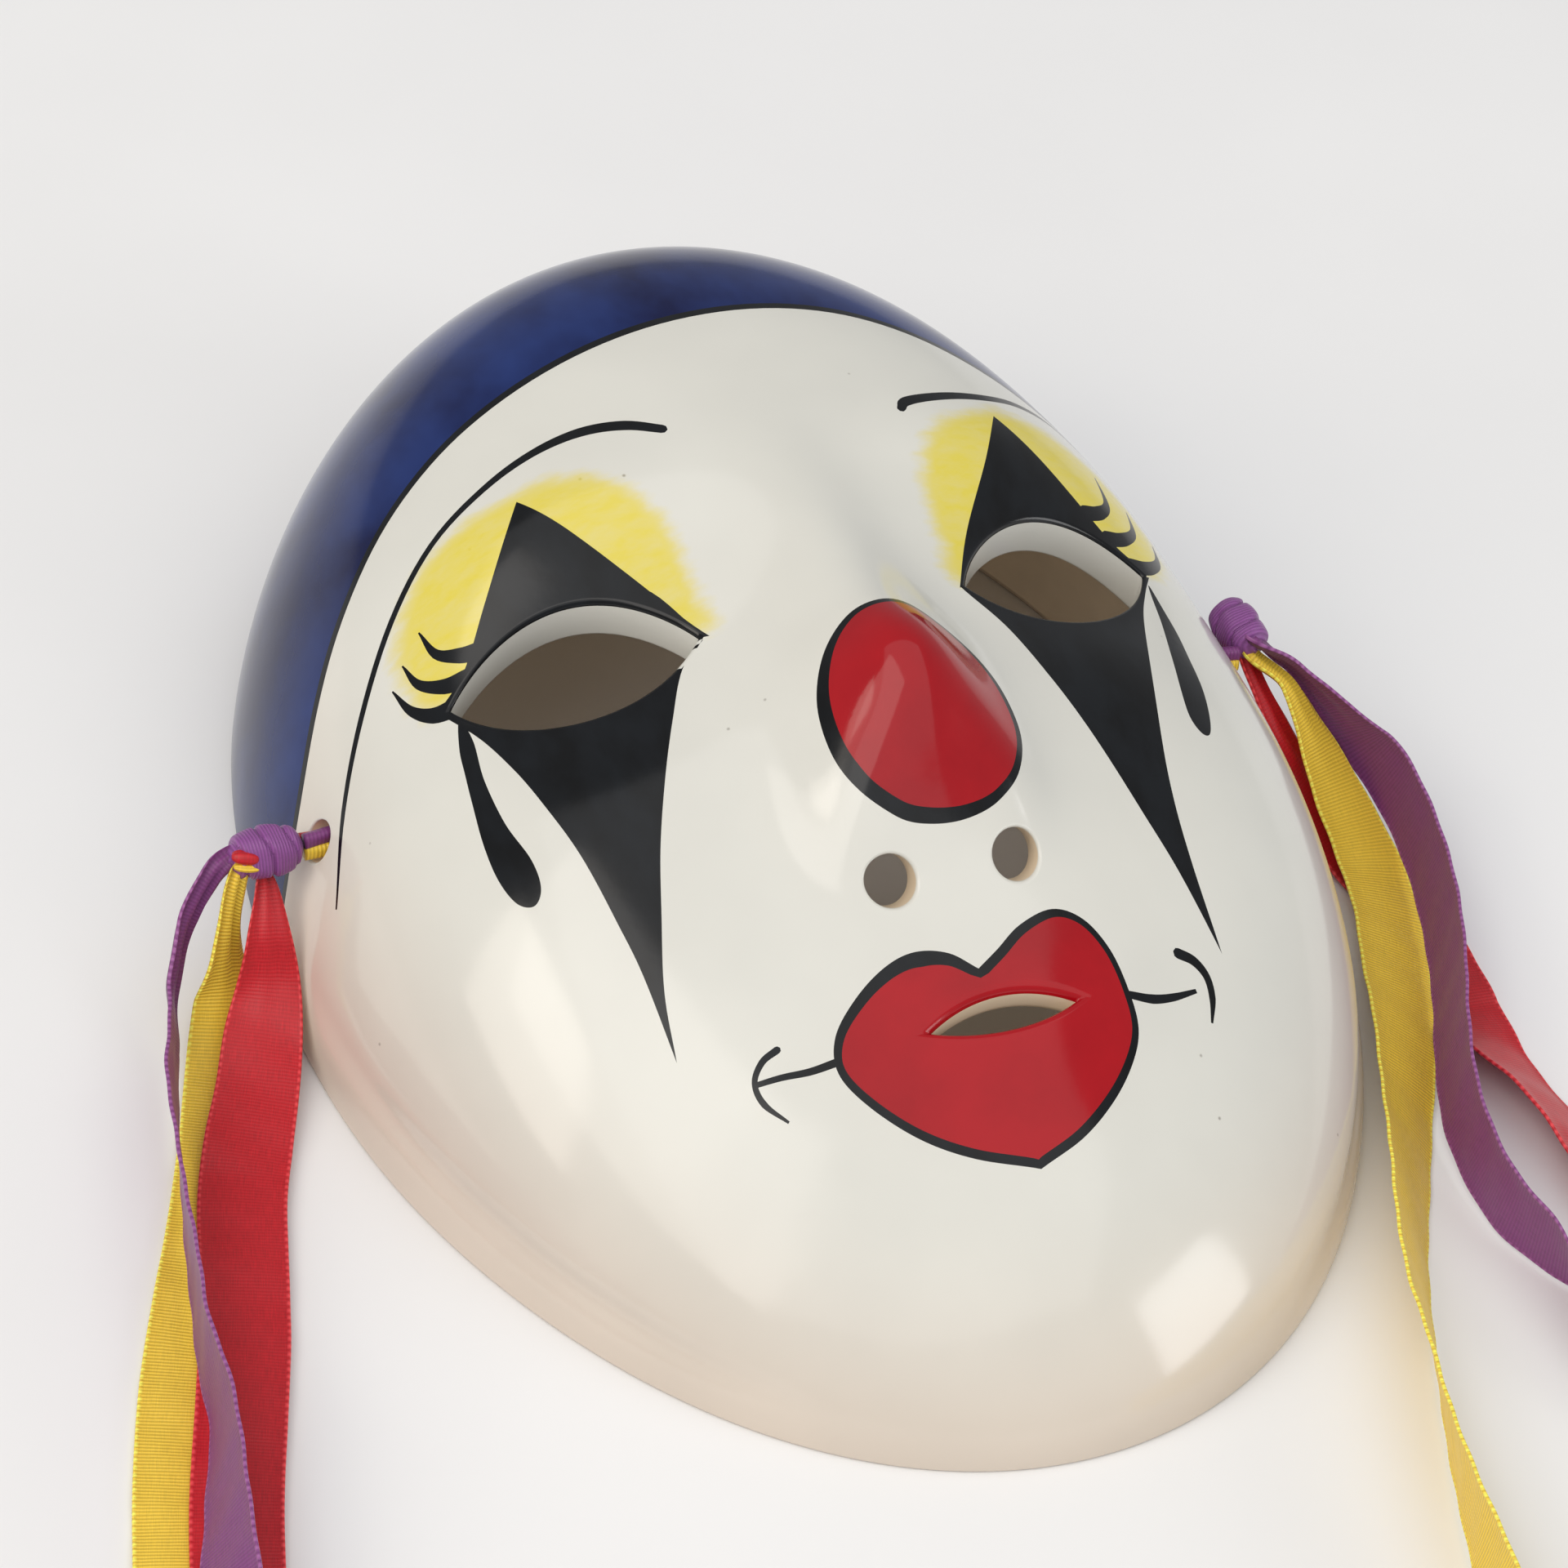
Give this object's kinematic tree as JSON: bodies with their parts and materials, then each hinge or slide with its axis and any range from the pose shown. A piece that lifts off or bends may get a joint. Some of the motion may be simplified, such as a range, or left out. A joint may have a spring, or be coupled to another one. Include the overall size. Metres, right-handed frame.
{
  "type": "ceramic clown wall mask",
  "caption": "Small glazed ceramic clown face mask with open eyes, nostrils and mouth, and satin ribbons knotted through a hole at each temple.",
  "frame": {"origin": "middle of the mask's length and width, on the plane of its flat back rim", "axes": "+X to the viewer's right across the face, +Y from chin to crown, +Z out of the face, away from the rim"},
  "size_m": [0.2016, 0.2081, 0.0543],
  "materials": {
    "glazed_shell": "hand-painted under a clear gloss glaze",
    "purple_satin": "woven satin ribbon",
    "yellow_satin": "woven satin ribbon",
    "red_satin": "woven satin ribbon"
  },
  "bodies": {
    "mask": {"mask_shell": "glazed_shell", "left_inner_knot": "purple_satin", "left_hole_strand": "purple_satin", "right_inner_knot": "purple_satin", "right_hole_strand": "purple_satin"},
    "left_ribbons": {"left_outer_knot": "purple_satin", "left_purple_ribbon": "purple_satin", "left_yellow_ribbon": "yellow_satin", "left_red_ribbon": "red_satin"},
    "right_ribbons": {"right_outer_knot": "purple_satin", "right_purple_ribbon": "purple_satin", "right_yellow_ribbon": "yellow_satin", "right_red_ribbon": "red_satin"}
  },
  "joints": [
    {"name": "left_ribbons_swing", "type": "hinge", "parent": "mask", "child": "left_ribbons", "pos_m": [-0.0558, 0.007, 0.019], "axis": [0, 0, 1], "range_deg": [-25, 0]},
    {"name": "right_ribbons_swing", "type": "hinge", "parent": "mask", "child": "right_ribbons", "pos_m": [0.0585, 0.012, 0.02], "axis": [0, 0, 1], "range_deg": [0, 25]}
  ]
}
